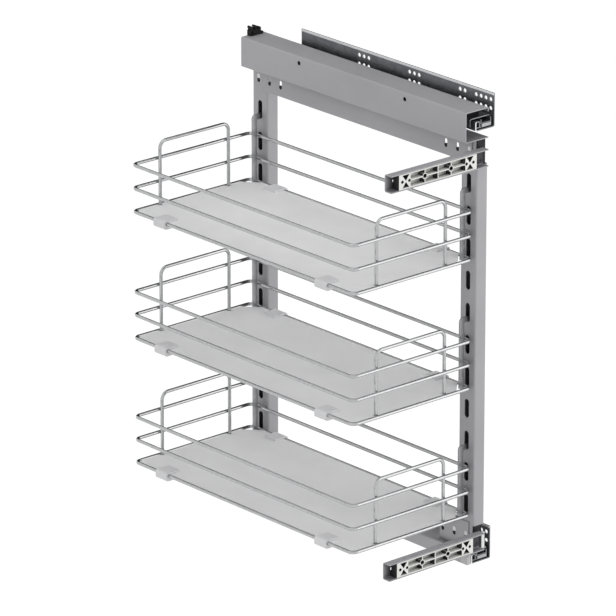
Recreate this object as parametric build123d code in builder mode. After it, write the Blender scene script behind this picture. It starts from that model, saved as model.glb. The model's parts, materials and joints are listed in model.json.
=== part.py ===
"""Side-mounted pull-out cargo unit with three wire baskets.

Millimetres. X = 0 is the cabinet's side wall and the unit lies at negative X.
The front faces -Y and +Z is up. The origin is on the wall, on the first screw
line of the bottom rail, midway between its two rows of screw holes.
"""

import os
from math import sqrt

from build123d import *

os.makedirs("parts", exist_ok=True)

# Cabinet rails, the two members screwed to the side wall
drill_line = 37.0  # from the front end of the rails to the first screw line
rail_length = 405.0
rail_sheet = 1.5
rail_bend = 2.5
rail_height = 49.0
rail_width = 36.5
rail_spacing = 647.0  # from the bottom rail up to the top rail
hat_height = 14.0
hat_width = 8.5
hat_inner_leg = 9.0
screw_row_height = 32.0  # from a rail's underside to midway between its rows
screw_row_pitch = 13.0
screw_hole_diameter = 6.0
screw_hole_pitch = 10.0
screw_hole_groups = ((7.0, 4), (60.0, 2), (155.0, 3), (261.0, 3))  # first hole, count

# Slide members between the cabinet rails and the carriage
running_gap = 0.3
roller_diameter = 6.0
roller_length = 13.0
roller_centre = 15.0  # from the wall
roller_count = 6
roller_pitch = 34.0
cage_start = 100.0
cage_length = 200.0
cage_sheet = 2.4
cage_width = 15.6
middle_length = 400.0
middle_setback = 2.0
middle_width = 20.0
middle_leg_gap = 1.5
middle_lip = 8.0
drawer_rail_rear_inset = 10.0
top_drawer_rail_setback = 6.0
bottom_drawer_rail_setback = 14.0
drawer_rail_inner_edge = 2.5  # from the wall
drawer_rail_outer_edge = 41.5
drawer_rail_inner_leg = 7.7
drawer_rail_outer_leg = 11.7

# Carriage frame: top beam, base beam and two slotted posts
frame_sheet = 1.5
frame_bend = 2.4
frame_depth = 476.0
slot_plane = 33.0  # from the wall to the slotted face of the posts
post_width = 32.2
post_depth = 20.7
post_slot_width = 9.0
post_slot_length = 28.0
post_slot_pitch = 48.0
post_slot_count = 13
first_slot_rise = 20.3  # from the base beam's top to the lowest slot's centre
flange_cut = 37.0  # at both ends of the front post's front flange
beam_outer_face = 55.0
beam_inner_edge = 11.5
beam_height = 45.0
beam_drop = 14.0  # from the top rail's underside to the beam's underside
beam_back_lip = 6.0
beam_flange_height = 35.0
flange_slot_drop = 17.5  # from the beam's underside to the middle of its slots
access_hole_diameter = 6.5
access_hole_drop = 10.0
access_hole_spacing = 224.0
base_outer_face = 44.5
base_inner_edge = 8.0
gusset_height = 41.3
gusset_length = 60.0
gusset_setback = 9.0
short_slot_width = 6.0
short_slot_length = 13.0
short_slot_pitch = 24.0
short_slot_count = 3
short_slot_start = 14.5
end_cap_length = 13.0
end_cap_height = 12.3
end_cap_width = 7.0
stop_pad_width = 6.5
stop_pad_height = 23.5
stop_pad_depth = 8.0
stop_pad_gap = 0.5
stop_pad_round = 1.5

# Couplings and tilt adjuster on the top beam
coupling_length = 30.0
coupling_width = 26.0
coupling_edge = 14.0  # from the wall
coupling_inset = 16.0
coupling_round = 3.0
adjuster_edge = 19.5  # from the wall
adjuster_width = 24.0
adjuster_depth = 8.0
adjuster_sheet = 1.2
adjuster_body_width = 15.0
adjuster_body_edge = 24.0  # from the wall
adjuster_body_height = 8.2
adjuster_tab_height = 3.8
adjuster_prong_width = 3.2
adjuster_prong_height = 10.8
adjuster_knob_height = 12.6
adjuster_knob_spacing = 8.7
adjuster_knob_width = 3.0

# Door brackets and their plastic adapters
bracket_height = 25.4
bracket_depth = 14.0
bracket_length = 182.0
bracket_edge = 24.0  # from the wall
bracket_rise = 3.4  # from the base beam up to the bottom bracket
bracket_drop = 10.6  # from the top beam down to the top bracket
bracket_hole_diameter = 5.0
bracket_hole_inset = 15.0
carrier_depth = 9.0
carrier_width = 14.0
rivet_diameter = 4.0
rivet_spacing = 12.0
rivet_gap = 0.1
adapter_length = 145.5
adapter_inset = 14.0  # from the bracket's free end
adapter_floor = 2.0
adapter_wall = 1.5
adapter_rib = 1.6
adapter_rib_places = (-52.2, -24.5, 0.0, 24.5, 52.2)  # from its middle
adapter_round = 1.0
adapter_near_offset = 24.5  # from the adapter's middle to its larger holes
adapter_near_diameter = 6.6
adapter_screw_offset = 53.5  # from the adapter's middle to the holes in use
adapter_screw_pitch = 13.0
adapter_screw_diameter = 4.8
adapter_boss_wall = 1.2
adapter_truss_width = 13.0

# Wire baskets
wire_diameter = 5.0
weld_gap = 0.05
basket_slots = {"lower": 3, "middle": 7, "upper": 11}  # post slots that carry them
loop_heights = {"bottom": 0.0, "middle": 35.2, "top": 70.4}
basket_overhang = 2.0  # of the baskets behind the rear post
basket_outer_face = 263.5  # from the wall
basket_inner_face = 35.5
loop_bend = 9.0
hoop_inset = 47.0  # from the side wires to the hoop's legs
hoop_height = 96.5
hoop_bend = 11.0
hook_reach = 94.8  # from the bottom wire up to the underside of the hook's arm
hook_width = 8.0
hook_thickness = 2.5
hook_arm_height = 8.0
hook_lip_height = 13.8
hook_lip_width = 3.0
hook_bend = 6.0
tray_thickness = 3.5
tray_drop = 2.0  # from the bottom wire's centre to the tray's underside
tray_gap = 0.7
clip_inset = 66.0
clip_width = 24.0
clip_gap = 0.1
clip_outside = 5.0
clip_body = 8.0
clip_pad = 20.0
clip_pad_sheet = 3.0
clip_foot = 16.0
clip_foot_height = 5.9
clip_round = 3.5

# Heights, depths and edges that follow from the sizes above
front = -drill_line
rear = front + frame_depth
bottom_rail_base = -screw_row_height
top_rail_base = bottom_rail_base + rail_spacing
lower_rollers = rail_sheet + running_gap + roller_diameter / 2
middle_web = lower_rollers + roller_diameter / 2 + running_gap
upper_rollers = middle_web + rail_sheet + running_gap + roller_diameter / 2
drawer_web = upper_rollers + roller_diameter / 2 + running_gap
slide_height = drawer_web + rail_sheet
base_top = bottom_rail_base + slide_height + frame_sheet
base_bottom = bottom_rail_base
beam_bottom = top_rail_base - beam_drop
beam_top = beam_bottom + beam_height
first_slot = base_top + first_slot_rise
last_slot = first_slot + (post_slot_count - 1) * post_slot_pitch
wire_radius = wire_diameter / 2
outer_wire = -(basket_outer_face - wire_radius)
inner_wire = -(basket_inner_face + wire_radius)
front_wire = front + wire_radius
rear_wire = rear + basket_overhang - wire_radius
front_hoop_depth = front_wire + wire_diameter + weld_gap
rear_hoop_depth = rear_wire - wire_diameter - weld_gap
front_hook_depth = front + post_width / 2
rear_hook_depth = rear - post_width / 2
hook_edge = inner_wire - wire_radius - weld_gap
tray_edge = wire_radius + tray_gap
hook_setback = hook_thickness / 2 + max(
    front_hook_depth - front_wire - tray_edge,
    rear_wire - tray_edge - rear_hook_depth,
)
tray_corner = hook_setback + hook_width + weld_gap + (sqrt(2) - 1) * tray_gap
slot_sag = post_slot_width / 2 - sqrt((post_slot_width**2 - hook_thickness**2) / 4)
hook_seat = slot_sag + running_gap - post_slot_length / 2  # from the slot's centre
carrier_outer = slot_plane - frame_sheet
rivet_x = -(bracket_edge + carrier_outer) / 2  # midway across their overlap
bracket_far_end = bracket_edge + bracket_length
adapter_x = -(bracket_far_end - adapter_inset - adapter_length / 2)
adapter_height = bracket_height - 2 * frame_sheet - 2 * running_gap
adapter_depth = bracket_depth - frame_sheet - running_gap
bottom_bracket = base_top + bracket_rise + bracket_height / 2
top_bracket = beam_bottom - bracket_drop - bracket_height / 2


def facing_front(y):
    """Plane at depth y that faces the front, with X across and Z up."""
    return Plane.XZ.offset(-y)


def facing_wall(x):
    """Plane at x that faces the cabinet's wall, with Y across and Z up."""
    return Plane.YZ.offset(x)


def bent_sheet(points, sheet, bend):
    """Section of bent sheet that lies to the left of the line through points."""
    with BuildSketch() as section:
        with BuildLine():
            FilletPolyline(*points, radius=bend)
            offset(amount=sheet, side=Side.LEFT)
        make_face()
    return section.sketch


def cabinet_rail(name, base):
    """L-shaped rail for the wall, with a folded hat along its free edge."""
    hat_edge = -(rail_width - hat_width)
    section = bent_sheet(
        [
            (hat_edge, base + hat_height - hat_inner_leg),
            (hat_edge, base + hat_height),
            (-rail_width, base + hat_height),
            (-rail_width, base),
            (0, base),
            (0, base + rail_height),
        ],
        rail_sheet,
        rail_bend,
    )
    rows = base + screw_row_height
    with BuildPart() as rail:
        with BuildSketch(facing_front(front + rail_length)):
            add(section)
        extrude(amount=rail_length)
        with BuildSketch(facing_wall(0)):
            for first, count in screw_hole_groups:
                group_middle = front + first + (count - 1) * screw_hole_pitch / 2
                with Locations((group_middle, rows)):
                    with GridLocations(screw_hole_pitch, screw_row_pitch, count, 2):
                        Circle(screw_hole_diameter / 2)
        extrude(amount=-rail_sheet, mode=Mode.SUBTRACT)
    rail.part.label = name
    export_step(rail.part, f"parts/{name}.step")


def middle_rail(name, base):
    """Middle member: a web between two walls, with a lip under the hat."""
    near = roller_centre - middle_width / 2
    far = roller_centre + middle_width / 2
    wall_bottom = base + rail_sheet + middle_leg_gap
    wall_top = base + drawer_web - middle_leg_gap
    with BuildPart() as rail:
        with BuildSketch(facing_front(front + middle_setback + middle_length)):
            with Locations((-roller_centre, base + middle_web)):
                Rectangle(middle_width, rail_sheet, align=(Align.CENTER, Align.MIN))
            with Locations((-near, wall_bottom), (-(far - rail_sheet), wall_bottom)):
                Rectangle(rail_sheet, wall_top - wall_bottom, align=(Align.MAX, Align.MIN))
            with Locations((-far, wall_bottom)):
                Rectangle(middle_lip, rail_sheet, align=(Align.MAX, Align.MIN))
        extrude(amount=middle_length)
    rail.part.label = name
    export_step(rail.part, f"parts/{name}.step")


def drawer_rail(name, base, setback):
    """Carriage member: a sheet channel that rides over the rollers."""
    top = base + slide_height
    section = bent_sheet(
        [
            (-drawer_rail_inner_edge, top - drawer_rail_inner_leg),
            (-drawer_rail_inner_edge, top),
            (-drawer_rail_outer_edge, top),
            (-drawer_rail_outer_edge, top - drawer_rail_outer_leg),
        ],
        rail_sheet,
        rail_bend,
    )
    with BuildPart() as rail:
        with BuildSketch(facing_front(rear - drawer_rail_rear_inset)):
            add(section)
        extrude(amount=frame_depth - drawer_rail_rear_inset - setback)
    rail.part.label = name
    export_step(rail.part, f"parts/{name}.step")


def roller_cage(name, height):
    """Flat cage with its rollers, each one loose in its own window."""
    cage_middle = front + cage_start + cage_length / 2
    window = 2 * running_gap
    with BuildPart() as cage:
        with BuildSketch(Plane.XY.offset(height - cage_sheet / 2)):
            with Locations((-roller_centre, cage_middle)):
                Rectangle(cage_width, cage_length)
                with GridLocations(1, roller_pitch, 1, roller_count):
                    Rectangle(
                        roller_length + window,
                        roller_diameter + window,
                        mode=Mode.SUBTRACT,
                    )
        extrude(amount=cage_sheet)
        with BuildSketch(facing_wall(-roller_centre - roller_length / 2)):
            with Locations((cage_middle, height)):
                with GridLocations(roller_pitch, 1, roller_count, 1):
                    Circle(roller_diameter / 2)
        extrude(amount=roller_length)
    cage.part.label = name
    export_step(cage.part, f"parts/{name}.step")


for end, base in (("top", top_rail_base), ("bottom", bottom_rail_base)):
    cabinet_rail(f"{end}_cabinet_rail", base)
    middle_rail(f"{end}_middle_rail", base)
    roller_cage(f"{end}_lower_roller_cage", base + lower_rollers)
    roller_cage(f"{end}_upper_roller_cage", base + upper_rollers)
drawer_rail("top_drawer_rail", top_rail_base, top_drawer_rail_setback)
drawer_rail("bottom_drawer_rail", bottom_rail_base, bottom_drawer_rail_setback)


def post(name, post_front, cut_levels):
    """Upright tube with a ladder of slots in the face towards the baskets."""
    back = -(slot_plane - post_depth)
    inside = (post_depth - 2 * frame_sheet, post_width - 2 * frame_sheet)
    with BuildPart() as upright:
        with BuildSketch(Plane.XY.offset(base_top)):
            with Locations((back - post_depth / 2, post_front + post_width / 2)):
                RectangleRounded(post_depth, post_width, frame_bend)
                RectangleRounded(*inside, frame_bend - frame_sheet, mode=Mode.SUBTRACT)
        extrude(amount=beam_bottom - base_top)
        with BuildSketch(facing_wall(-slot_plane)):
            with Locations((post_front + post_width / 2, (first_slot + last_slot) / 2)):
                with GridLocations(1, post_slot_pitch, 1, post_slot_count):
                    SlotOverall(post_slot_length, post_slot_width, rotation=90)
        extrude(amount=frame_sheet, mode=Mode.SUBTRACT)
        for level in cut_levels:
            with BuildSketch(Plane.XY.offset(level)):
                with Locations((back, post_front)):
                    Rectangle(post_depth, frame_bend, align=(Align.MAX, Align.MIN))
                    Rectangle(frame_bend, carrier_depth, align=(Align.MAX, Align.MIN))
            extrude(amount=flange_cut, mode=Mode.SUBTRACT)
    upright.part.label = name
    export_step(upright.part, f"parts/{name}.step")


post("front_post", front, (base_top, beam_bottom - flange_cut))
post("rear_post", rear - post_width, ())


def short_slot_places(height):
    """Centres of the short slots near both ends of the beam and the base."""
    reaches = [short_slot_start + i * short_slot_pitch for i in range(short_slot_count)]
    return [(front + reach, height) for reach in reaches] + [
        (rear - reach, height) for reach in reaches
    ]


# Top beam: a box open to the wall, over a hanging flange that carries the posts
with BuildPart() as top_beam:
    with BuildSketch(facing_front(rear)):
        add(
            bent_sheet(
                [
                    (-beam_inner_edge, beam_top - beam_back_lip),
                    (-beam_inner_edge, beam_top),
                    (-beam_outer_face, beam_top),
                    (-beam_outer_face, beam_bottom),
                    (-beam_inner_edge, beam_bottom),
                ],
                frame_sheet,
                frame_bend,
            )
        )
    extrude(amount=frame_depth)
    with BuildSketch(facing_front(rear - gusset_setback)):
        with Locations((-slot_plane, beam_bottom - beam_flange_height)):
            Rectangle(
                frame_sheet,
                beam_flange_height + frame_sheet / 2,
                align=(Align.MAX, Align.MIN),
            )
    extrude(amount=frame_depth - 2 * gusset_setback)
    with BuildSketch(facing_wall(-slot_plane)):
        with Locations(*short_slot_places(beam_bottom - flange_slot_drop)):
            SlotOverall(short_slot_length, short_slot_width, rotation=90)
    extrude(amount=-frame_sheet, mode=Mode.SUBTRACT)
    with BuildSketch(facing_wall(-beam_outer_face)):
        with Locations(((front + rear) / 2, beam_top - access_hole_drop)):
            with GridLocations(access_hole_spacing, 1, 2, 1):
                Circle(access_hole_diameter / 2)
    extrude(amount=frame_sheet, mode=Mode.SUBTRACT)
top_beam.part.label = "top_beam"
export_step(top_beam.part, "parts/top_beam.step")

# Base beam: a cover over the bottom slide, with a slotted gusset at each post
with BuildPart() as base_beam:
    with BuildSketch(facing_front(rear)):
        add(
            bent_sheet(
                [
                    (-base_inner_edge, base_top),
                    (-base_outer_face, base_top),
                    (-base_outer_face, base_bottom),
                ],
                frame_sheet,
                frame_bend,
            )
        )
    extrude(amount=frame_depth)
    with BuildSketch(facing_wall(-base_outer_face)):
        with Locations((front, base_bottom)):
            Rectangle(end_cap_length, end_cap_height, align=(Align.MIN, Align.MIN))
    extrude(amount=frame_sheet, mode=Mode.SUBTRACT)
    gusset = (gusset_length, gusset_height + frame_sheet / 2)
    with BuildSketch(facing_wall(-slot_plane)):
        with Locations((front + gusset_setback, base_top - frame_sheet / 2)):
            Rectangle(*gusset, align=(Align.MIN, Align.MIN))
        with Locations((rear - gusset_setback, base_top - frame_sheet / 2)):
            Rectangle(*gusset, align=(Align.MAX, Align.MIN))
        with Locations(*short_slot_places(first_slot)):
            SlotOverall(short_slot_length, short_slot_width, rotation=90, mode=Mode.SUBTRACT)
    extrude(amount=-frame_sheet)
base_beam.part.label = "base_beam"
export_step(base_beam.part, "parts/base_beam.step")

# Plastic cap in the notch at the front of the base beam, with a stem to its top
with BuildPart() as base_end_cap:
    with BuildSketch(Plane.XY.offset(base_bottom)):
        with Locations((-base_outer_face, front)):
            Rectangle(end_cap_width, end_cap_length, align=(Align.MIN, Align.MIN))
    extrude(amount=end_cap_height)
    with BuildSketch(Plane.XY.offset(base_bottom + end_cap_height)):
        with Locations((-base_outer_face + frame_bend, front)):
            Rectangle(end_cap_width - frame_bend, end_cap_length, align=(Align.MIN, Align.MIN))
    extrude(amount=base_top - frame_sheet - base_bottom - end_cap_height)
base_end_cap.part.label = "base_end_cap"
export_step(base_end_cap.part, "parts/base_end_cap.step")

# White stop pad that stands on the base beam beside the bottom bracket's carrier
with BuildPart() as stop_pad:
    with BuildSketch(Plane.XY.offset(base_top)):
        with Locations((-(carrier_outer - carrier_width - stop_pad_gap), front)):
            Rectangle(stop_pad_width, stop_pad_depth, align=(Align.MIN, Align.MIN))
    extrude(amount=stop_pad_height)
    fillet(stop_pad.edges().filter_by(Axis.Z), radius=stop_pad_round)
stop_pad.part.label = "stop_pad"
export_step(stop_pad.part, "parts/stop_pad.step")


def slide_coupling(name, start):
    """Plastic spacer between the top slide and the underside of the beam."""
    spacer_bottom = top_rail_base + slide_height
    with BuildPart() as coupling:
        with BuildSketch(Plane.XY.offset(spacer_bottom)):
            with Locations((-coupling_edge, start)):
                Rectangle(coupling_width, coupling_length, align=(Align.MAX, Align.MIN))
        extrude(amount=beam_top - frame_sheet - spacer_bottom)
        fillet(coupling.edges().filter_by(Axis.Z), radius=coupling_round)
    coupling.part.label = name
    export_step(coupling.part, f"parts/{name}.step")


slide_coupling("front_coupling", front + coupling_inset)
slide_coupling("rear_coupling", rear - coupling_inset - coupling_length)

# Black tilt adjuster on the rear end of the top beam: a body between two tabs,
# with a prong at its wall side and two knobs on thin stems at the other
with BuildPart() as tilt_adjuster:
    adjuster_far_end = adjuster_edge + adjuster_width
    body_far_end = adjuster_body_edge + adjuster_body_width
    first_knob = -(body_far_end + adjuster_knob_width / 2 + adjuster_sheet)
    second_knob = first_knob + adjuster_knob_spacing
    tab_top = beam_top + adjuster_tab_height
    arm_top = beam_top + adjuster_body_height
    with BuildSketch(facing_front(rear)):
        with Locations((-adjuster_edge, beam_top)):
            Rectangle(adjuster_width, adjuster_sheet, align=(Align.MAX, Align.MIN))
            Rectangle(adjuster_sheet, adjuster_tab_height, align=(Align.MAX, Align.MIN))
        with Locations((-adjuster_edge, tab_top)):
            tab_reach = adjuster_body_edge - adjuster_edge
            Rectangle(tab_reach, adjuster_sheet, align=(Align.MAX, Align.MAX))
        with Locations((-adjuster_body_edge, beam_top)):
            Rectangle(
                adjuster_body_width, adjuster_body_height, align=(Align.MAX, Align.MIN)
            )
            Rectangle(
                adjuster_prong_width, adjuster_prong_height, align=(Align.MAX, Align.MIN)
            )
        with Locations((-adjuster_far_end, beam_top)):
            Rectangle(adjuster_sheet, adjuster_body_height, align=(Align.MIN, Align.MIN))
        with Locations((-adjuster_far_end, arm_top)):
            arm_reach = adjuster_far_end - body_far_end
            Rectangle(arm_reach, adjuster_sheet, align=(Align.MIN, Align.MAX))
        with Locations((first_knob, arm_top), (second_knob, arm_top)):
            stem_height = adjuster_knob_height - adjuster_body_height
            Rectangle(adjuster_sheet, stem_height, align=(Align.CENTER, Align.MIN))
        knob_level = beam_top + adjuster_knob_height
        with Locations((first_knob, knob_level), (second_knob, knob_level)):
            Rectangle(adjuster_knob_width, adjuster_knob_width, rotation=45)
    extrude(amount=adjuster_depth)
tilt_adjuster.part.label = "tilt_adjuster"
export_step(tilt_adjuster.part, "parts/tilt_adjuster.step")


def rivet_places(height):
    """Centres of the two rivets that hold a bracket to its carrier."""
    return [(rivet_x, height - rivet_spacing / 2), (rivet_x, height + rivet_spacing / 2)]


def bracket_carrier(name, bottom, height):
    """Solid block in the post's end, behind the bracket's web."""
    with BuildPart() as carrier:
        with BuildSketch(facing_front(front)):
            with Locations((-carrier_outer, bottom)):
                Rectangle(carrier_width, flange_cut, align=(Align.MIN, Align.MIN))
            with Locations(*rivet_places(height)):
                Circle(rivet_diameter / 2 + rivet_gap, mode=Mode.SUBTRACT)
        extrude(amount=-carrier_depth)
    carrier.part.label = name
    export_step(carrier.part, f"parts/{name}.step")


def door_bracket(name, height):
    """Channel, open to the front, that carries a door adapter."""
    low = height - bracket_height / 2
    high = height + bracket_height / 2
    section = bent_sheet(
        [
            (front - bracket_depth, low),
            (front, low),
            (front, high),
            (front - bracket_depth, high),
        ],
        frame_sheet,
        frame_bend,
    )
    with BuildPart() as bracket:
        with BuildSketch(facing_wall(-bracket_far_end)):
            add(section)
        extrude(amount=bracket_length)
        with BuildSketch(facing_front(front)):
            with Locations((-bracket_far_end + bracket_hole_inset, height)):
                Circle(bracket_hole_diameter / 2)
            with Locations(*rivet_places(height)):
                Circle(rivet_diameter / 2 + rivet_gap)
        extrude(amount=frame_sheet, mode=Mode.SUBTRACT)
    bracket.part.label = name
    export_step(bracket.part, f"parts/{name}.step")


def adapter_cells():
    """Two rows of rectangular pockets between the adapter's upright ribs."""
    row_height = (adapter_height - 2 * adapter_wall - adapter_rib) / 2
    row = (row_height + adapter_rib) / 2
    near_boss = adapter_near_diameter / 2 + adapter_boss_wall
    screw_boss = adapter_screw_diameter / 2 + adapter_boss_wall
    with BuildSketch() as cells:
        for left, right in zip(adapter_rib_places, adapter_rib_places[1:]):
            with Locations(((left + right) / 2, -row), ((left + right) / 2, row)):
                Rectangle(right - left - adapter_rib, row_height)
        with Locations((-adapter_near_offset, 0), (adapter_near_offset, 0)):
            Circle(near_boss, mode=Mode.SUBTRACT)
        with Locations((-adapter_screw_offset, 0), (adapter_screw_offset, 0)):
            Circle(screw_boss, mode=Mode.SUBTRACT)
    return cells.sketch


def adapter_truss():
    """Triangles above and below the middle of an end's pair of screw holes."""
    half_width = adapter_truss_width / 2
    half_height = adapter_height / 2 - adapter_wall
    screw_boss = adapter_screw_diameter / 2 + adapter_boss_wall
    with BuildSketch() as truss:
        for up in (-1, 1):
            with BuildLine():
                Polyline(
                    (-half_width, up * half_height),
                    (half_width, up * half_height),
                    (0, up * adapter_rib / 2),
                    close=True,
                )
            make_face()
        with GridLocations(adapter_screw_pitch, 1, 2, 1):
            Circle(screw_boss, mode=Mode.SUBTRACT)
    return truss.sketch


def door_adapter(name, height):
    """Ribbed plastic block that the door front is screwed to."""
    face = facing_front(front - bracket_depth)
    truss_reach = adapter_screw_offset + adapter_screw_pitch / 2
    truss_places = [(adapter_x - truss_reach, height), (adapter_x + truss_reach, height)]
    with BuildPart() as adapter:
        with BuildSketch(face):
            with Locations((adapter_x, height)):
                Rectangle(adapter_length, adapter_height)
        extrude(amount=-adapter_depth)
        fillet(adapter.edges().filter_by(Axis.X).group_by(Axis.Y)[-1], radius=adapter_round)
        with BuildSketch(face):
            with Locations((adapter_x, height)):
                add(adapter_cells())
        extrude(amount=-(adapter_depth - adapter_floor), mode=Mode.SUBTRACT)
        with BuildSketch(face):
            with Locations(*truss_places):
                add(adapter_truss())
                with GridLocations(adapter_screw_pitch, 1, 2, 1):
                    Circle(adapter_screw_diameter / 2)
            with Locations((adapter_x, height)):
                with GridLocations(2 * adapter_near_offset, 1, 2, 1):
                    Circle(adapter_near_diameter / 2)
        extrude(amount=-adapter_depth, mode=Mode.SUBTRACT)
    adapter.part.label = name
    export_step(adapter.part, f"parts/{name}.step")


bracket_carrier("top_bracket_carrier", beam_bottom - flange_cut, top_bracket)
bracket_carrier("bottom_bracket_carrier", base_top, bottom_bracket)
door_bracket("top_door_bracket", top_bracket)
door_bracket("bottom_door_bracket", bottom_bracket)
door_adapter("top_door_adapter", top_bracket)
door_adapter("bottom_door_adapter", bottom_bracket)

# Rivets through both brackets and their carriers
with BuildPart() as bracket_rivets:
    with BuildSketch(facing_front(front - frame_sheet)):
        with Locations(*rivet_places(bottom_bracket), *rivet_places(top_bracket)):
            Circle(rivet_diameter / 2)
    extrude(amount=-(frame_sheet + carrier_depth))
bracket_rivets.part.label = "bracket_rivets"
export_step(bracket_rivets.part, "parts/bracket_rivets.step")


def wire_loop(name, height):
    """Closed rectangular loop of round wire with bent corners."""
    with BuildPart() as loop:
        with BuildLine(Plane.XY.offset(height)) as path:
            FilletPolyline(
                (inner_wire, front_wire),
                (inner_wire, rear_wire),
                (outer_wire, rear_wire),
                (outer_wire, front_wire),
                close=True,
                radius=loop_bend,
            )
        with BuildSketch(path.line ^ 0):
            Circle(wire_radius)
        sweep()
    loop.part.label = name
    export_step(loop.part, f"parts/{name}.step")


def end_hoop(name, level, depth):
    """Upright hoop of round wire, welded inside the loops at one end."""
    foot = level - wire_radius
    with BuildPart() as hoop:
        with BuildLine(facing_front(depth)) as path:
            FilletPolyline(
                (outer_wire + hoop_inset, foot),
                (outer_wire + hoop_inset, level + hoop_height),
                (inner_wire - hoop_inset, level + hoop_height),
                (inner_wire - hoop_inset, foot),
                radius=hoop_bend,
            )
        with BuildSketch(path.line ^ 0):
            Circle(wire_radius)
        sweep()
    hoop.part.label = name
    export_step(hoop.part, f"parts/{name}.step")


def hook_bar(name, level, depth):
    """Flat bar on edge, welded to the loops, whose arm goes through a post slot."""
    foot = level - wire_radius
    arm_bottom = level + hook_reach
    arm_top = arm_bottom + hook_arm_height
    lip_bottom = arm_bottom - hook_lip_height
    lip_near = -slot_plane + frame_sheet + running_gap
    lip_far = lip_near + hook_lip_width
    with BuildPart() as hook:
        with BuildSketch(facing_front(depth + hook_thickness / 2)):
            with BuildLine():
                bend = FilletPolyline(
                    (hook_edge - hook_width, foot),
                    (hook_edge - hook_width, arm_top),
                    (hook_edge, arm_top),
                    radius=hook_bend,
                )
                Polyline(
                    bend @ 1,
                    (lip_far, arm_top),
                    (lip_far, lip_bottom),
                    (lip_near, lip_bottom),
                    (lip_near, arm_bottom),
                    (hook_edge, arm_bottom),
                    (hook_edge, foot),
                    bend @ 0,
                )
            make_face()
        extrude(amount=hook_thickness)
    hook.part.label = name
    export_step(hook.part, f"parts/{name}.step")


def tray_panel(name, level):
    """Flat panel in the bottom loop, notched for the hoops' legs, cut at the hooks."""
    legs = (outer_wire + hoop_inset, inner_wire - hoop_inset)
    notch = (wire_diameter + 2 * tray_gap, wire_diameter + weld_gap)
    with BuildPart() as tray:
        with BuildSketch(Plane.XY.offset(level - tray_drop)) as face:
            with Locations(((outer_wire + inner_wire) / 2, (front_wire + rear_wire) / 2)):
                Rectangle(
                    inner_wire - outer_wire - 2 * tray_edge,
                    rear_wire - front_wire - 2 * tray_edge,
                )
            chamfer(face.vertices().sort_by(Axis.X)[:2], length=loop_bend - tray_edge)
            chamfer(face.vertices().sort_by(Axis.X)[-2:], length=tray_corner)
            with Locations(*[(x, front_wire + tray_edge) for x in legs]):
                Rectangle(*notch, align=(Align.CENTER, Align.MIN), mode=Mode.SUBTRACT)
            with Locations(*[(x, rear_wire - tray_edge) for x in legs]):
                Rectangle(*notch, align=(Align.CENTER, Align.MAX), mode=Mode.SUBTRACT)
        extrude(amount=tray_thickness)
    tray.part.label = name
    export_step(tray.part, f"parts/{name}.step")


def clip_section(level, wire, inward):
    """Section of a clip on one side wire; inward is 1 or -1 along X."""
    tray_bottom = level - tray_drop - clip_gap
    tray_top = level - tray_drop + tray_thickness + clip_gap
    side = Align.MIN if inward > 0 else Align.MAX
    with BuildSketch() as section:
        with Locations((wire - inward * clip_outside, tray_bottom - clip_foot_height)):
            Rectangle(
                clip_outside + clip_body,
                clip_foot_height + tray_top + clip_pad_sheet - tray_bottom,
                align=(side, Align.MIN),
            )
        corners = section.vertices().sort_by(Axis.X, reverse=inward < 0)
        fillet(corners[:2], radius=clip_round)
        with Locations((wire, tray_top)):
            Rectangle(clip_pad, clip_pad_sheet, align=(side, Align.MIN))
        with Locations((wire, tray_bottom)):
            Rectangle(clip_foot, clip_foot_height, align=(side, Align.MAX))
            Rectangle(clip_body, tray_top - tray_bottom, align=(side, Align.MIN),
                      mode=Mode.SUBTRACT)
        with Locations((wire, level)):
            Circle(wire_radius + clip_gap, mode=Mode.SUBTRACT)
    return section.sketch


def tray_clips(name, level):
    """Four clips that hold the tray to the side wires."""
    front_clip = front_wire - wire_radius + clip_inset
    rear_clip = rear_wire + wire_radius - clip_inset
    with BuildPart() as clips:
        for middle in (front_clip, rear_clip):
            with BuildSketch(facing_front(middle + clip_width / 2)):
                add(clip_section(level, outer_wire, 1))
                add(clip_section(level, inner_wire, -1))
            extrude(amount=clip_width)
    clips.part.label = name
    export_step(clips.part, f"parts/{name}.step")


for basket, slot in basket_slots.items():
    level = first_slot + slot * post_slot_pitch + hook_seat - hook_reach
    for loop, height in loop_heights.items():
        wire_loop(f"{basket}_{loop}_loop", level + height)
    end_hoop(f"{basket}_front_hoop", level, front_hoop_depth)
    end_hoop(f"{basket}_rear_hoop", level, rear_hoop_depth)
    hook_bar(f"{basket}_front_hook", level, front_hook_depth)
    hook_bar(f"{basket}_rear_hook", level, rear_hook_depth)
    tray_panel(f"{basket}_tray", level)
    tray_clips(f"{basket}_tray_clips", level)
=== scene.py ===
"""Studio scene of the side-mounted pull-out unit with three wire baskets.

Metres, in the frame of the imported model: the cabinet wall is X = 0, the front
faces -Y and +Z is up.
"""

import json
import math
import bmesh
import bpy
from mathutils import Matrix, Vector


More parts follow.
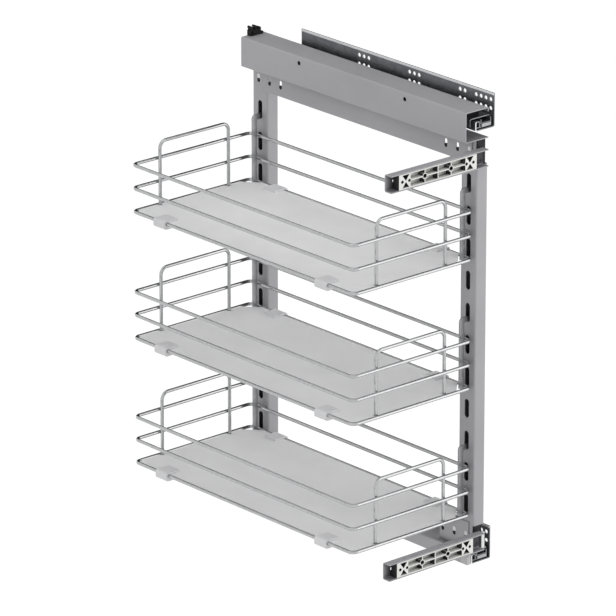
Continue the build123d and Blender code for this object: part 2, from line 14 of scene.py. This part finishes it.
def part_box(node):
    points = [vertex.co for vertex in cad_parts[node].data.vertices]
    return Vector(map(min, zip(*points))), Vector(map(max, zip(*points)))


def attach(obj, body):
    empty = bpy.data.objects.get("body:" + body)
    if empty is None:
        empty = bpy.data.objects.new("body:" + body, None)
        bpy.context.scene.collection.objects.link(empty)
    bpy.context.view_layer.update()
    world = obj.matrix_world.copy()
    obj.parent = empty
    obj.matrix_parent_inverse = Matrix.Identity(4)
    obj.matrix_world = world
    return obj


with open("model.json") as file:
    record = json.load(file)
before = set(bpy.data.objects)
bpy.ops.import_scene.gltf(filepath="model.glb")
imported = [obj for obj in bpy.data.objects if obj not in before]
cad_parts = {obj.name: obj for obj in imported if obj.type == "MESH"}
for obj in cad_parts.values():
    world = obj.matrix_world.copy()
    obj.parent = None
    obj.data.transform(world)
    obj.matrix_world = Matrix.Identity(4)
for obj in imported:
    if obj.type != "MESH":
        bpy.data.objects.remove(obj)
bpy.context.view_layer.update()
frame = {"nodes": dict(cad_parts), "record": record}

MM = 0.001
LEVELS = ("lower", "middle", "upper")
ENDS = ("front", "rear")
RAILS = ("top", "bottom")
LOOPS = ("bottom", "middle", "top")
WIRE_RADIUS = 2.5 * MM
RAIL_SHEET = 1.5 * MM
SHEET_REACH = 2 * MM  # a little over the thickness of any sheet
BRACKET_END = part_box("top_door_bracket")[0].x
ADAPTER_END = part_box("top_door_adapter")[0].x


# Node helpers


def new_material(name):
    """A material with its node tree, principled shader and output."""
    material = bpy.data.materials.new(name)
    material.use_nodes = True
    tree = material.node_tree
    tree.nodes.clear()
    output = tree.nodes.new("ShaderNodeOutputMaterial")
    shader = tree.nodes.new("ShaderNodeBsdfPrincipled")
    tree.links.new(shader.outputs["BSDF"], output.inputs["Surface"])
    return material, tree, shader


def object_coords(tree, scale=(1.0, 1.0, 1.0)):
    """Object coordinates, stretched per axis."""
    coords = tree.nodes.new("ShaderNodeTexCoord")
    mapping = tree.nodes.new("ShaderNodeMapping")
    mapping.inputs["Scale"].default_value = scale
    tree.links.new(coords.outputs["Object"], mapping.inputs["Vector"])
    return mapping.outputs["Vector"]


def noise(tree, vector, scale, detail=2.0):
    """Noise factor from 0 to 1."""
    node = tree.nodes.new("ShaderNodeTexNoise")
    node.inputs["Scale"].default_value = scale
    node.inputs["Detail"].default_value = detail
    tree.links.new(vector, node.inputs["Vector"])
    return node.outputs["Fac"]


def remap(tree, value, low, high, new_low, new_high):
    """value, with the range low to high moved to new_low to new_high."""
    node = tree.nodes.new("ShaderNodeMapRange")
    node.inputs["From Min"].default_value = low
    node.inputs["From Max"].default_value = high
    node.inputs["To Min"].default_value = new_low
    node.inputs["To Max"].default_value = new_high
    tree.links.new(value, node.inputs["Value"])
    return node.outputs["Result"]


def ramp(tree, value, stops):
    """Colour ramp over value; stops are (position, colour)."""
    node = tree.nodes.new("ShaderNodeValToRGB")
    elements = node.color_ramp.elements
    for element, (position, color) in zip(elements, stops):
        element.position = position
        element.color = (*color, 1.0)
    tree.links.new(value, node.inputs["Fac"])
    return node.outputs["Color"]


def blend_colors(tree, factor, first, second):
    """Mix of two colours or colour outputs by factor."""
    node = tree.nodes.new("ShaderNodeMix")
    node.data_type = "RGBA"
    pairs = ((factor, node.inputs[0]), (first, node.inputs[6]), (second, node.inputs[7]))
    for value, socket in pairs:
        if isinstance(value, bpy.types.NodeSocket):
            tree.links.new(value, socket)
        elif isinstance(value, float):
            socket.default_value = value
        else:
            socket.default_value = (*value, 1.0)
    return node.outputs[2]


def edge_factor(tree, radius):
    """0 on flat faces, rising to 1 along edges that turn within radius."""
    bevel = tree.nodes.new("ShaderNodeBevel")
    bevel.samples = 6
    bevel.inputs["Radius"].default_value = radius
    geometry = tree.nodes.new("ShaderNodeNewGeometry")
    dot = tree.nodes.new("ShaderNodeVectorMath")
    dot.operation = "DOT_PRODUCT"
    tree.links.new(bevel.outputs["Normal"], dot.inputs[0])
    tree.links.new(geometry.outputs["Normal"], dot.inputs[1])
    return remap(tree, dot.outputs["Value"], 0.995, 0.80, 0.0, 1.0)


def hollow_factor(tree, distance, low, high):
    """Mask for painted shade: 0 on open faces, rising to 1 in the object's own hollows."""
    hollow_shade = tree.nodes.new("ShaderNodeAmbientOcclusion")
    hollow_shade.samples = 6
    hollow_shade.only_local = True
    hollow_shade.inputs["Distance"].default_value = distance
    return remap(tree, hollow_shade.outputs["AO"], high, low, 0.0, 1.0)


def along_x(tree, start, end):
    """0 up to start, rising to 1 at end, along the object's X."""
    split = tree.nodes.new("ShaderNodeSeparateXYZ")
    tree.links.new(object_coords(tree), split.inputs["Vector"])
    return remap(tree, split.outputs["X"], start, end, 0.0, 1.0)


def facing_left(tree):
    """Mask for painted shade: 1 on faces that face -X, falling to 0 on faces across it."""
    geometry = tree.nodes.new("ShaderNodeNewGeometry")
    split = tree.nodes.new("ShaderNodeSeparateXYZ")
    tree.links.new(geometry.outputs["Normal"], split.inputs["Vector"])
    return remap(tree, split.outputs["X"], -0.75, -0.15, 1.0, 0.0)


def bump(tree, shader, height, strength, distance, radius=0.0):
    """Bump on the shader, over rounded edges where radius isn't 0."""
    node = tree.nodes.new("ShaderNodeBump")
    node.inputs["Strength"].default_value = strength
    node.inputs["Distance"].default_value = distance
    tree.links.new(height, node.inputs["Height"])
    if radius:
        bevel = tree.nodes.new("ShaderNodeBevel")
        bevel.samples = 6
        bevel.inputs["Radius"].default_value = radius
        tree.links.new(bevel.outputs["Normal"], node.inputs["Normal"])
    tree.links.new(node.outputs["Normal"], shader.inputs["Normal"])


def set_shader(shader, **values):
    """Plain values on the shader's own sockets."""
    for name, value in values.items():
        shader.inputs[name.replace("_", " ")].default_value = value


# Finishes


def powder_coat(name, dark, light, edge, inner=None):
    """Satin silver-grey powder coat with a fine orange peel, a painted highlight along edges,
    painted shade in its hollows and, on a bracket's web, painted shade deepening towards the
    adapter.
    """
    material, tree, shader = new_material(name)
    coords = object_coords(tree)
    clouds = noise(tree, coords, 9.0, 3.0)
    speckle = noise(tree, coords, 2600.0, 1.0)
    base = ramp(tree, clouds, ((0.35, dark), (0.65, light)))
    grained = blend_colors(tree, remap(tree, speckle, 0.3, 0.7, 0.0, 0.16), base, edge)
    # Painted highlight: lighter along edges
    edge_highlighted = blend_colors(tree, remap(tree, edge_factor(tree, 0.5 * MM), 0, 1, 0, 0.45), grained, edge)
    # Painted shade: near black in the coat's own hollows
    hollow_shade = hollow_factor(tree, 30 * MM, 0.25, 0.80)
    shaded = blend_colors(tree, hollow_shade, edge_highlighted, (0.10, 0.10, 0.12))
    # Painted shade along a bracket's web, darkening from its free end to the adapter's end, near
    # black beyond
    if inner:
        shaded = blend_colors(tree, along_x(tree, BRACKET_END, ADAPTER_END), shaded, inner)
    tree.links.new(shaded, shader.inputs["Base Color"])
    tree.links.new(remap(tree, speckle, 0.3, 0.7, 0.42, 0.54), shader.inputs["Roughness"])
    set_shader(shader, Metallic=0.25, IOR=1.5)
    peel = noise(tree, coords, 900.0, 2.0)
    bump(tree, shader, peel, 0.25, 0.02 * MM, 0.5 * MM)
    return material


def zinc_sheet(name, dark, light, roughness, edge):
    """Zinc-plated sheet with faint spangle, a rolling grain along Y and a painted highlight along
    its edges.
    """
    material, tree, shader = new_material(name)
    spangle = tree.nodes.new("ShaderNodeTexVoronoi")
    spangle.inputs["Scale"].default_value = 160.0
    tree.links.new(object_coords(tree), spangle.inputs["Vector"])
    grain = noise(tree, object_coords(tree, (1.0, 0.03, 1.0)), 1500.0, 2.0)
    shade = blend_colors(tree, 0.72, spangle.outputs["Color"], grain)
    value = tree.nodes.new("ShaderNodeRGBToBW")
    tree.links.new(shade, value.inputs["Color"])
    base = ramp(tree, value.outputs["Val"], ((0.25, dark), (0.75, light)))
    # Painted highlight: lighter along edges
    highlighted_sheet = blend_colors(tree, remap(tree, edge_factor(tree, 0.4 * MM), 0, 1, 0, 0.6), base, edge)
    tree.links.new(highlighted_sheet, shader.inputs["Base Color"])
    rough = remap(tree, value.outputs["Val"], 0.2, 0.8, roughness - 0.06, roughness + 0.08)
    tree.links.new(rough, shader.inputs["Roughness"])
    set_shader(shader, Metallic=0.9)
    bump(tree, shader, grain, 0.12, 0.02 * MM, 0.3 * MM)
    return material


def chrome_plate(name, dark, light):
    """Bright plating over drawn wire."""
    material, tree, shader = new_material(name)
    coords = object_coords(tree)
    haze = noise(tree, coords, 220.0, 3.0)
    tree.links.new(ramp(tree, haze, ((0.3, dark), (0.7, light))), shader.inputs["Base Color"])
    tree.links.new(remap(tree, haze, 0.3, 0.7, 0.10, 0.17), shader.inputs["Roughness"])
    set_shader(shader, Metallic=1.0)
    bump(tree, shader, noise(tree, coords, 1200.0, 1.0), 0.05, 0.02 * MM)
    return material


def moulded_plastic(
    name, dark, light, roughness, texture, edge, shade=None, ior=1.49
):
    """Moulded plastic with spark-eroded texture, soft edges lightened as a painted highlight and,
    where shade is given, painted shade in pockets and on faces that face -X.
    """
    material, tree, shader = new_material(name)
    coords = object_coords(tree)
    clouds = noise(tree, coords, 14.0, 2.0)
    base = ramp(tree, clouds, ((0.35, dark), (0.65, light)))
    # Painted highlight: lighter along edges
    edge_highlight = remap(tree, edge_factor(tree, 0.8 * MM), 0, 1, 0, 0.8)
    base = blend_colors(tree, edge_highlight, base, edge)
    if shade:
        # Painted shade in the pockets and on faces that face -X
        base = blend_colors(tree, hollow_factor(tree, 14 * MM, 0.05, 0.30), base, shade)
        base = blend_colors(tree, facing_left(tree), base, shade)
    tree.links.new(base, shader.inputs["Base Color"])
    grain = noise(tree, coords, texture, 2.0)
    rough = remap(tree, grain, 0.3, 0.7, roughness - 0.05, roughness + 0.07)
    tree.links.new(rough, shader.inputs["Roughness"])
    set_shader(shader, IOR=ior)
    bump(tree, shader, grain, 0.2, 0.03 * MM, 0.4 * MM)
    return material


FINISHES = {
    "frame_paint": powder_coat(
        "frame_paint",
        dark=(0.36, 0.355, 0.375),
        light=(0.39, 0.385, 0.405),
        edge=(0.55, 0.55, 0.57),
    ),
    # Painted shade on the brackets' webs: darker than the frame paint, near black towards the
    # adapters
    "web_painted_shade": powder_coat(
        "web_painted_shade",
        dark=(0.30, 0.30, 0.315),
        light=(0.34, 0.34, 0.355),
        edge=(0.42, 0.42, 0.43),
        inner=(0.035, 0.035, 0.042),
    ),
    "slide_steel": zinc_sheet(
        "slide_steel",
        dark=(0.16, 0.17, 0.18),
        light=(0.28, 0.29, 0.30),
        roughness=0.38,
        edge=(0.50, 0.51, 0.52),
    ),
    "roller_steel": zinc_sheet(
        "roller_steel",
        dark=(0.30, 0.30, 0.31),
        light=(0.45, 0.45, 0.46),
        roughness=0.30,
        edge=(0.6, 0.6, 0.6),
    ),
    "hook_zinc": zinc_sheet(
        "hook_zinc",
        dark=(0.25, 0.25, 0.26),
        light=(0.40, 0.40, 0.41),
        roughness=0.30,
        edge=(0.65, 0.65, 0.66),
    ),
    # Near-black: dark zinc, darkened further as painted shade on the carriers inside the brackets
    "carrier_zinc": zinc_sheet(
        "carrier_zinc",
        dark=(0.02, 0.02, 0.024),
        light=(0.035, 0.035, 0.04),
        roughness=0.50,
        edge=(0.08, 0.08, 0.085),
    ),
    # Near-white bare steel, a painted highlight on the front ends and top edges of the cabinet rails
    "bare_steel_highlight": zinc_sheet(
        "bare_steel_highlight",
        dark=(0.80, 0.81, 0.82),
        light=(0.92, 0.93, 0.94),
        roughness=0.34,
        edge=(0.96, 0.96, 0.97),
    ),
    # Near-black weld, painted shade at the wire crossings
    "weld_painted_shade": zinc_sheet(
        "weld_painted_shade",
        dark=(0.06, 0.06, 0.065),
        light=(0.12, 0.12, 0.125),
        roughness=0.36,
        edge=(0.20, 0.20, 0.21),
    ),
    "wire_chrome": chrome_plate(
        "wire_chrome", dark=(0.42, 0.425, 0.43), light=(0.50, 0.505, 0.51)
    ),
    "tray_plastic": moulded_plastic(
        "tray_plastic",
        dark=(0.84, 0.84, 0.845),
        light=(0.88, 0.88, 0.885),
        roughness=0.45,
        texture=900.0,
        edge=(0.92, 0.92, 0.93),
    ),
    "clip_plastic": moulded_plastic(
        "clip_plastic",
        dark=(0.70, 0.70, 0.71),
        light=(0.75, 0.75, 0.76),
        roughness=0.38,
        texture=600.0,
        edge=(0.82, 0.82, 0.83),
    ),
    "adapter_plastic": moulded_plastic(
        "adapter_plastic",
        dark=(0.82, 0.82, 0.79),
        light=(0.87, 0.87, 0.84),
        roughness=0.45,
        texture=600.0,
        edge=(0.93, 0.93, 0.91),
        # Colour of the painted shade in the adapter's pockets and on its faces that face -X
        shade=(0.02, 0.02, 0.022),
    ),
    "black_plastic": moulded_plastic(
        "black_plastic",
        dark=(0.008, 0.008, 0.009),
        light=(0.013, 0.013, 0.014),
        roughness=0.60,
        texture=500.0,
        edge=(0.03, 0.03, 0.031),
        ior=1.25,
    ),
    "cap_plastic": moulded_plastic(
        "cap_plastic",
        dark=(0.50, 0.50, 0.51),
        light=(0.55, 0.55, 0.56),
        roughness=0.42,
        texture=600.0,
        edge=(0.68, 0.68, 0.69),
    ),
    "pad_plastic": moulded_plastic(
        "pad_plastic",
        dark=(0.82, 0.82, 0.81),
        light=(0.87, 0.87, 0.86),
        roughness=0.40,
        texture=600.0,
        edge=(0.92, 0.92, 0.91),
    ),
}

SLOT_OF = {row["node"]: row["material_slot"] for row in frame["record"]["subparts"]}
MERGE_DISTANCE = 0.005 * MM
SHARP_ANGLE = math.radians(32)
for name, node in frame["nodes"].items():
    node.data.materials.clear()
    node.data.materials.append(FINISHES[SLOT_OF[name]])
    for face in node.data.polygons:
        face.material_index = 0
        face.use_smooth = True
    weld = node.modifiers.new("join_facets", "WELD")
    weld.merge_threshold = MERGE_DISTANCE
    split = node.modifiers.new("keep_edges", "EDGE_SPLIT")
    split.split_angle = SHARP_ANGLE


def second_finish(name, finish, low, high):
    """A second finish on the front-facing faces between two corners."""
    facing_front = -0.95
    mesh = frame["nodes"][name].data
    mesh.materials.append(FINISHES[finish])
    for face in mesh.polygons:
        inside = all(a < b < c for a, b, c in zip(low, face.center, high))
        if inside and face.normal.y < facing_front:
            face.material_index = 1


# Bare steel with a painted highlight on the front end of each hat's outer leg, and painted shade on
# each bracket's web
for rail in RAILS:
    low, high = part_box(f"{rail}_cabinet_rail")
    leg = (low.x + SHEET_REACH, low.y + MM, high.z)
    second_finish(f"{rail}_cabinet_rail", "bare_steel_highlight", low - Vector((MM, MM, MM)), leg)
    low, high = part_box(f"{rail}_door_bracket")
    web = (low.x, high.y - SHEET_REACH, low.z)
    second_finish(f"{rail}_door_bracket", "web_painted_shade", web, high - Vector((0, MM, 0)))


# New pieces


def finish_piece(name, mesh, slot, body, finish=None, smooth=True):
    """Makes the bmesh an object with its finish, riding on a body."""
    bmesh.ops.recalc_face_normals(mesh, faces=mesh.faces)
    data = bpy.data.meshes.new(name)
    mesh.to_mesh(data)
    mesh.free()
    for face in data.polygons:
        face.use_smooth = smooth
    data.materials.append(FINISHES[finish or slot])
    piece = bpy.data.objects.new(name, data)
    bpy.context.scene.collection.objects.link(piece)
    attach(piece, body)
    return piece


def weld_bead(mesh, centre, size):
    """One squashed bead of weld at a wire crossing."""
    made = bmesh.ops.create_icosphere(mesh, subdivisions=2, radius=1.0)
    place = Matrix.Translation(centre) @ Matrix.Diagonal((*size, 1.0))
    bmesh.ops.transform(mesh, matrix=place, verts=made["verts"])


def centre_of(node):
    """Middle of a CAD node's box."""
    low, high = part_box(node)
    return (low + high) / 2


WIRE_BEAD = (2.1 * MM, 0.9 * MM, 2.1 * MM)
BAR_BEAD = (0.9 * MM, 1.9 * MM, 1.9 * MM)
# Weld beads at the wire crossings, dark as painted shade there
for level in LEVELS:
    beads = bmesh.new()
    loop_heights = [centre_of(f"{level}_{loop}_loop").z for loop in LOOPS]
    for end in ENDS:
        hoop_low, hoop_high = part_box(f"{level}_{end}_hoop")
        loop_low, loop_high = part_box(f"{level}_bottom_loop")
        seam = (hoop_low.y + loop_low.y + 2 * WIRE_RADIUS) / 2
        if end == "rear":
            seam = (hoop_high.y + loop_high.y - 2 * WIRE_RADIUS) / 2
        for leg in (hoop_low.x + WIRE_RADIUS, hoop_high.x - WIRE_RADIUS):
            for height in loop_heights:
                weld_bead(beads, (leg, seam, height), WIRE_BEAD)
        hook_low, hook_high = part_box(f"{level}_{end}_hook")
        seam = loop_high.x - 2 * WIRE_RADIUS
        for height in loop_heights:
            middle = (hook_low.y + hook_high.y) / 2
            weld_bead(beads, (seam, middle, height), BAR_BEAD)
    finish_piece(f"{level}_welds", beads, "wire_chrome", f"{level}_basket", "weld_painted_shade")


def block(mesh, low, high, bevel):
    """One box from low to high with bevelled edges."""
    made = bmesh.ops.create_cube(mesh, size=1.0)
    size = Vector(high) - Vector(low)
    middle = (Vector(low) + Vector(high)) / 2
    place = Matrix.Translation(middle) @ Matrix.Diagonal((*size, 1.0))
    bmesh.ops.transform(mesh, matrix=place, verts=made["verts"])
    edges = list({edge for vert in made["verts"] for edge in vert.link_edges})
    bmesh.ops.bevel(
        mesh, geom=edges, offset=bevel, affect="EDGES", segments=2, profile=0.5, material=-1
    )


def disc(mesh, centre, radius, length):
    """One short round plug along X."""
    turn = Matrix.Rotation(math.pi / 2, 4, "Y")
    bmesh.ops.create_cone(
        mesh, cap_ends=True, segments=24, radius1=radius, radius2=radius, depth=length,
        matrix=Matrix.Translation(centre) @ turn,
    )


# Near-white strip along the top edge of each cabinet rail, a painted highlight
RIM_SINK = 0.1 * MM  # into the rail's face, and short of its ends
RIM_THICKNESS = 1.2 * MM
RIM_HEIGHT = 3.35 * MM
RIM_DROP = 0.05 * MM
RIM_ROUND = 0.4 * MM
for rail in RAILS:
    low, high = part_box(f"{rail}_cabinet_rail")
    face = high.x - RAIL_SHEET + RIM_SINK
    edge_highlight = bmesh.new()
    block(
        edge_highlight,
        (face - RIM_THICKNESS, low.y + RIM_SINK, high.z - RIM_DROP - RIM_HEIGHT),
        (face, high.y - RIM_SINK, high.z - RIM_DROP),
        RIM_ROUND,
    )
    finish_piece(f"{rail}_rail_highlight_strip", edge_highlight, "slide_steel", "cabinet_rails", "bare_steel_highlight", smooth=False)

# Black discs in the lower ends of the inner short slots, white discs and fills in some upper ends
SLOT_REACHES = (14.5 * MM, 38.5 * MM, 62.5 * MM)  # from the beams' ends
SLOT_SHEET_MIDDLE = -33.75 * MM
SLOT_END_REACH = 3.5 * MM  # from a slot's middle to the centre of its round end
SLOT_DROP = 21.0 * MM  # from the gussets' top to the middle of their slots
SLOT_RISE = 576.0 * MM  # from the base beam's slots up to the top beam's
PLUG_RADIUS = 2.98 * MM
PLUG_LENGTH = 1.4 * MM
FILL_THICKNESS = 1.3 * MM
FILL_DIP = 0.4 * MM  # below the slot's middle
FILL_ROUND = 0.05 * MM
base_low, base_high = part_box("base_beam")
low_slots = base_high.z - SLOT_DROP
slot_levels = {"bottom": low_slots, "top": low_slots + SLOT_RISE}
for rail, height in slot_levels.items():
    stops = bmesh.new()
    for reach in SLOT_REACHES[1:]:
        for depth in (base_low.y + reach, base_high.y - reach):
            place = (SLOT_SHEET_MIDDLE, depth, height - SLOT_END_REACH)
            disc(stops, place, PLUG_RADIUS, PLUG_LENGTH)
    finish_piece(f"{rail}_slot_dark_discs", stops, "black_plastic", "carriage", smooth=False)
fills = bmesh.new()
fill_places = [(reach, low_slots) for reach in SLOT_REACHES]
fill_places.append((SLOT_REACHES[0], slot_levels["top"]))
fill_back = SLOT_SHEET_MIDDLE - FILL_THICKNESS / 2
# All discs come before the first bevel, because a disc made after one varies between runs
for reach, height in fill_places:
    for depth in (base_low.y + reach, base_high.y - reach):
        place = (SLOT_SHEET_MIDDLE, depth, height + SLOT_END_REACH)
        disc(fills, place, PLUG_RADIUS, PLUG_LENGTH)
for reach, height in fill_places:
    for depth in (base_low.y + reach, base_high.y - reach):
        block(
            fills,
            (fill_back, depth - PLUG_RADIUS, height - FILL_DIP),
            (fill_back + FILL_THICKNESS, depth + PLUG_RADIUS, height + SLOT_END_REACH),
            FILL_ROUND,
        )
finish_piece("slot_fills", fills, "pad_plastic", "carriage", smooth=False)

# Buffer plate on the front end of each middle rail
BUFFER_SIDE = 1.0 * MM  # from the rail's inner side
BUFFER_WIDTH = 18.0 * MM
BUFFER_SHEET = 1.5 * MM
BUFFER_LAP = 0.05 * MM
BUFFER_FOOT = 0.4 * MM
BUFFER_HEIGHT = 5.0 * MM
BUFFER_ROUND = 0.7 * MM
for rail in RAILS:
    low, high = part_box(f"{rail}_middle_rail")
    foot = low.z + BUFFER_FOOT
    plate = bmesh.new()
    block(
        plate,
        (high.x - BUFFER_SIDE - BUFFER_WIDTH, low.y - BUFFER_SHEET, foot),
        (high.x - BUFFER_SIDE, low.y + BUFFER_LAP, foot + BUFFER_HEIGHT),
        BUFFER_ROUND,
    )
    finish_piece(f"{rail}_slide_buffer", plate, "roller_steel", f"{rail}_middle", smooth=False)


# Stage, light and camera


def stage_floor(level, size):
    """Plain pale floor far below the unit."""
    mesh = bmesh.new()
    bmesh.ops.create_grid(mesh, x_segments=1, y_segments=1, size=size)
    bmesh.ops.translate(mesh, vec=(0, 0, level), verts=mesh.verts)
    data = bpy.data.meshes.new("floor")
    mesh.to_mesh(data)
    mesh.free()
    material, tree, shader = new_material("floor_pale")
    shade = ramp(
        tree,
        noise(tree, object_coords(tree), 3.0),
        ((0.4, (0.80, 0.80, 0.80)), (0.6, (0.82, 0.82, 0.82))),
    )
    tree.links.new(shade, shader.inputs["Base Color"])
    set_shader(shader, Roughness=0.9)
    whitened = tree.nodes.new("ShaderNodeAddShader")
    glow = tree.nodes.new("ShaderNodeEmission")
    tree.links.new(seen_ray(tree, 0.36), glow.inputs["Strength"])
    tree.links.new(shader.outputs["BSDF"], whitened.inputs[0])
    tree.links.new(glow.outputs["Emission"], whitened.inputs[1])
    output = next(n for n in tree.nodes if n.type == "OUTPUT_MATERIAL")
    tree.links.new(whitened.outputs["Shader"], output.inputs["Surface"])
    data.materials.append(material)
    floor = bpy.data.objects.new("floor", data)
    bpy.context.scene.collection.objects.link(floor)


def seen_ray(tree, strength):
    """strength for camera, glossy and transmission rays, and 0 for others."""
    path = tree.nodes.new("ShaderNodeLightPath")
    first = tree.nodes.new("ShaderNodeMath")
    first.operation = "MAXIMUM"
    tree.links.new(path.outputs["Is Camera Ray"], first.inputs[0])
    tree.links.new(path.outputs["Is Glossy Ray"], first.inputs[1])
    second = tree.nodes.new("ShaderNodeMath")
    second.operation = "MAXIMUM"
    tree.links.new(first.outputs["Value"], second.inputs[0])
    tree.links.new(path.outputs["Is Transmission Ray"], second.inputs[1])
    scaled = tree.nodes.new("ShaderNodeMath")
    scaled.operation = "MULTIPLY"
    scaled.inputs[1].default_value = strength
    tree.links.new(second.outputs["Value"], scaled.inputs[0])
    return scaled.outputs["Value"]


def studio_world(ambient):
    """White where it is seen, dimmer where it lights."""
    world = bpy.data.worlds.new("studio")
    bpy.context.scene.world = world
    world.use_nodes = True
    tree = world.node_tree
    tree.nodes.clear()
    output = tree.nodes.new("ShaderNodeOutputWorld")
    background = tree.nodes.new("ShaderNodeBackground")
    background.inputs["Color"].default_value = (1.0, 1.0, 1.0, 1.0)
    seen = seen_ray(tree, 1.0 - ambient)
    total = tree.nodes.new("ShaderNodeMath")
    total.operation = "ADD"
    total.inputs[1].default_value = ambient
    tree.links.new(seen, total.inputs[0])
    tree.links.new(total.outputs["Value"], background.inputs["Strength"])
    tree.links.new(background.outputs["Background"], output.inputs["Surface"])


def softbox(name, place, target, width, height, power):
    """Area lamp at place that faces target."""
    data = bpy.data.lights.new(name, "AREA")
    data.shape = "RECTANGLE"
    data.size = width
    data.size_y = height
    data.energy = power
    lamp = bpy.data.objects.new(name, data)
    lamp.location = place
    direction = Vector(target) - Vector(place)
    lamp.rotation_mode = "QUATERNION"
    lamp.rotation_quaternion = direction.to_track_quat("-Z", "Y")
    bpy.context.scene.collection.objects.link(lamp)


def dark_flag(name, corners):
    """Black card that shows in gloss alone and keeps no light off the unit."""
    mesh = bmesh.new()
    mesh.faces.new([mesh.verts.new(corner) for corner in corners])
    data = bpy.data.meshes.new(name)
    mesh.to_mesh(data)
    mesh.free()
    material, tree, shader = new_material(name)
    set_shader(shader, Base_Color=(0.01, 0.01, 0.01, 1.0), Roughness=1.0)
    data.materials.append(material)
    card = bpy.data.objects.new(name, data)
    bpy.context.scene.collection.objects.link(card)
    card.visible_camera = False
    card.visible_diffuse = False
    card.visible_transmission = False
    card.visible_shadow = False


UNIT_MIDDLE = (-0.13, 0.2, 0.31)
stage_floor(level=-0.75, size=30.0)
studio_world(ambient=0.80)
softbox("key_softbox", (2.0, -2.4, 1.0), UNIT_MIDDLE, width=2.4, height=2.4, power=22.0)
softbox("top_softbox", (-0.6, 0.2, 3.6), UNIT_MIDDLE, width=2.6, height=2.6, power=8.0)
dark_flag("rear_flag", ((1.5, 0.3, -0.7), (1.5, 6.0, -0.7), (1.5, 6.0, 3.5), (1.5, 0.3, 3.5)))

CAMERA_PLACE = (-5.5759, -5.9697, 3.2684)
CAMERA_AZIMUTH = math.radians(-41.396)
CAMERA_ELEVATION = math.radians(19.751)
CAMERA_LENS = 359.3
CAMERA_SENSOR = 36.0
camera_data = bpy.data.cameras.new("camera")
camera_data.sensor_width = CAMERA_SENSOR
camera_data.lens = CAMERA_LENS
camera_data.clip_start = 0.5
camera_data.clip_end = 100.0
camera = bpy.data.objects.new("camera", camera_data)
bpy.context.scene.collection.objects.link(camera)
towards_camera = Vector(
    (
        math.sin(CAMERA_AZIMUTH) * math.cos(CAMERA_ELEVATION),
        -math.cos(CAMERA_AZIMUTH) * math.cos(CAMERA_ELEVATION),
        math.sin(CAMERA_ELEVATION),
    )
)
camera.location = CAMERA_PLACE
camera.rotation_mode = "QUATERNION"
camera.rotation_quaternion = (-towards_camera).to_track_quat("-Z", "Y")
bpy.context.scene.camera = camera
bpy.context.scene.view_settings.view_transform = "Standard"
